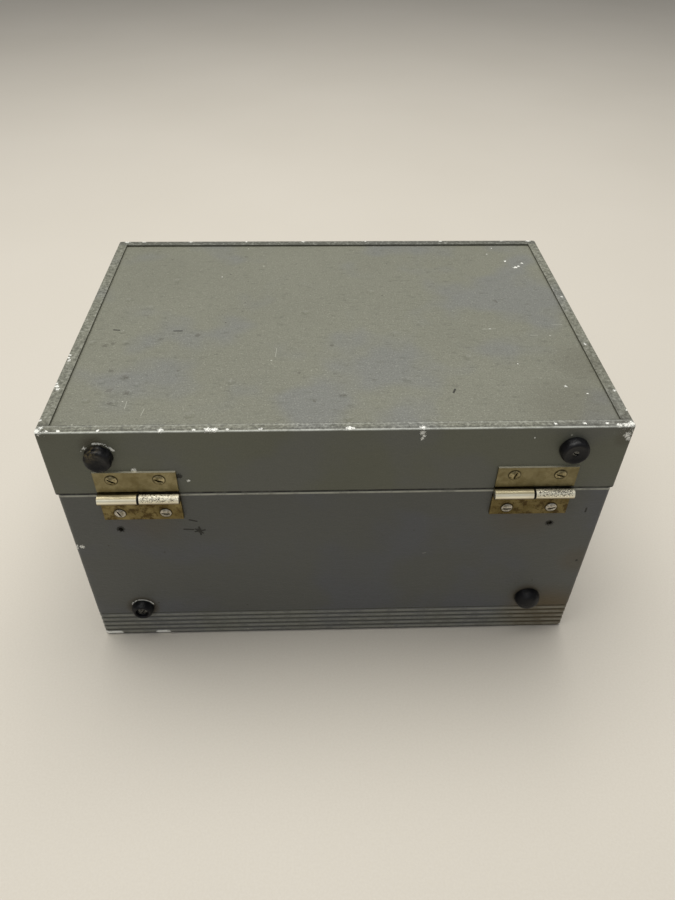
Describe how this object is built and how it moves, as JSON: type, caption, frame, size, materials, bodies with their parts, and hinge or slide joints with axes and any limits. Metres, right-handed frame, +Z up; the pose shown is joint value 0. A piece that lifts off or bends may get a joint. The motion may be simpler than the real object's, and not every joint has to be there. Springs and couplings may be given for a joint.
{
  "type": "overhead projector",
  "caption": "Overhead projector folded into its metal carrying case, with a hinged lift-off lid, a lit glass stage, and a fold-up mast carrying the lens and mirror.",
  "frame": {"origin": "centre of the case's underside, level with the surface it stands on", "axes": "+Z up, +X along the case's length to the right seen from the front, +Y from the handle side to the hinge side"},
  "size_m": [0.3556, 0.2966, 0.2032],
  "materials": {
    "case_paint": "fine textured olive-grey paint, chipped to bare metal along its edges",
    "foot_rubber": "matt black rubber, worn",
    "hinge_brass": "aged brass plate",
    "hinge_steel": "worn steel pin",
    "brass_screws": "aged slotted screws",
    "steel_screws": "zinc-plated slotted screws",
    "deck_enamel": "grey hammer-finish enamel",
    "plated_steel": "zinc-plated sheet steel",
    "bezel_aluminium": "satin anodised",
    "clear_glass": "polished",
    "lamp_glass": "clear bulb glass",
    "heat_glass": "pale green heat-absorbing glass",
    "fresnel_acrylic": "clear acrylic with fine concentric grooves",
    "black_enamel": "satin black",
    "ceramic": "glazed ceramic and its steel bracket",
    "bright_reflector": "polished dish",
    "motor_iron": "varnished laminations",
    "fan_aluminium": "stamped sheet",
    "bakelite": "moulded black phenolic",
    "nickel_plate": "dull nickel plate",
    "chrome_tube": "polished chrome",
    "rack_brass": "machined brass",
    "head_enamel": "satin grey enamel",
    "first_surface_mirror": "polished mirror glass"
  },
  "bodies": {
    "case": {"case_body": "case_paint", "case_feet": "foot_rubber", "case_foot_screws": "steel_screws", "hinge_case_leaves": "hinge_brass", "hinge_pins": "hinge_steel", "hinge_case_screws": "brass_screws", "deck_plate": "deck_enamel", "deck_pillars": "plated_steel", "deck_screws": "steel_screws", "stage_frame": "bezel_aluminium", "stage_glass": "clear_glass", "fresnel_lenses": "fresnel_acrylic", "fresnel_tray": "black_enamel", "lamp_house": "plated_steel", "lamp": "lamp_glass", "lamp_holder": "ceramic", "reflector": "bright_reflector", "condenser_cell": "black_enamel", "heat_glass": "heat_glass", "condenser_lens": "clear_glass", "fan_motor": "motor_iron", "motor_bracket": "plated_steel", "fan_shroud": "plated_steel", "storage_well": "plated_steel", "switch_body": "bakelite", "power_inlet": "bakelite", "post_bracket": "plated_steel", "handle_brackets": "nickel_plate", "handle_screws": "steel_screws", "latch_bases": "nickel_plate"},
    "lid": {"lid_shell": "case_paint", "lid_feet": "foot_rubber", "lid_foot_screws": "steel_screws", "hinge_lid_leaves": "hinge_brass", "hinge_lid_screws": "brass_screws", "latch_keepers": "nickel_plate"},
    "fan": {"fan_wheel": "fan_aluminium", "fan_shaft": "plated_steel"},
    "switch": {"switch_lever": "nickel_plate"},
    "mast": {"post_foot_block": "chrome_tube", "post_tube": "chrome_tube", "focus_rack": "rack_brass"},
    "head": {"head_carriage": "head_enamel", "head_arm": "head_enamel", "lens_barrel": "black_enamel", "lens_front": "clear_glass", "lens_middle": "clear_glass", "lens_rear": "clear_glass", "mirror_cradle": "black_enamel"},
    "focus_drive": {"focus_pinion": "rack_brass", "focus_knob": "bakelite"},
    "mirror": {"mirror_backing": "black_enamel", "mirror_glass": "first_surface_mirror", "mirror_knob": "bakelite"},
    "handle": {"handle_bail": "nickel_plate", "handle_grip": "bakelite"},
    "left_latch_lever": {"latch_lever_left": "nickel_plate"},
    "left_latch_bail": {"latch_bail_left": "nickel_plate"},
    "right_latch_lever": {"latch_lever_right": "nickel_plate"},
    "right_latch_bail": {"latch_bail_right": "nickel_plate"}
  },
  "joints": [
    {"name": "lid_swing", "type": "hinge", "parent": "case", "child": "lid", "pos_m": [0, 0.1307, 0.1515], "axis": [-1, 0, 0], "range_deg": [0, 178]},
    {"name": "mast_fold", "type": "hinge", "parent": "case", "child": "mast", "pos_m": [0.158, -0.105, 0.1565], "axis": [0, 1, 0], "range_deg": [0, 90]},
    {"name": "focus_slide", "type": "slide", "parent": "mast", "child": "head", "axis": [-1, 0, 0], "range_m": [-0.012, 0.016]},
    {"name": "focus_turn", "type": "hinge", "parent": "head", "child": "focus_drive", "pos_m": [-0.082, -0.105, 0.17375], "axis": [0, 1, 0], "range_deg": [-153, 115]},
    {"name": "mirror_tilt", "type": "hinge", "parent": "head", "child": "mirror", "pos_m": [-0.109, 0.01, 0.0725], "axis": [0, 0, 1], "range_deg": [-12, 12]},
    {"name": "fan_spin", "type": "hinge", "parent": "case", "child": "fan", "pos_m": [-0.146, 0.087, 0.05], "axis": [1, 0, 0], "continuous": true},
    {"name": "switch_toggle", "type": "hinge", "parent": "case", "child": "switch", "pos_m": [-0.062, 0.088, 0.1452], "axis": [0, -1, 0], "range_deg": [0, 24]},
    {"name": "handle_lift", "type": "hinge", "parent": "case", "child": "handle", "pos_m": [0, -0.1373, 0.104], "axis": [-1, 0, 0], "range_deg": [0, 90]},
    {"name": "left_latch_close", "type": "hinge", "parent": "case", "child": "left_latch_lever", "pos_m": [-0.118, -0.1343, 0.13], "axis": [1, 0, 0], "range_deg": [0, 55]},
    {"name": "left_latch_loop", "type": "hinge", "parent": "left_latch_lever", "child": "left_latch_bail", "pos_m": [-0.118, -0.1389, 0.12263], "axis": [-1, 0, 0], "range_deg": [0, 70]},
    {"name": "right_latch_close", "type": "hinge", "parent": "case", "child": "right_latch_lever", "pos_m": [0.118, -0.1343, 0.13], "axis": [1, 0, 0], "range_deg": [0, 55]},
    {"name": "right_latch_loop", "type": "hinge", "parent": "right_latch_lever", "child": "right_latch_bail", "pos_m": [0.118, -0.1389, 0.12263], "axis": [-1, 0, 0], "range_deg": [0, 70]}
  ],
  "couplings": [
    {"joint": "mast_fold", "follows": "lid_swing", "ratio": 0.5056},
    {"joint": "focus_turn", "follows": "focus_slide", "rad_per_m": -166.67},
    {"joint": "left_latch_loop", "follows": "left_latch_close", "ratio": 1.2727},
    {"joint": "right_latch_loop", "follows": "right_latch_close", "ratio": 1.2727}
  ]
}
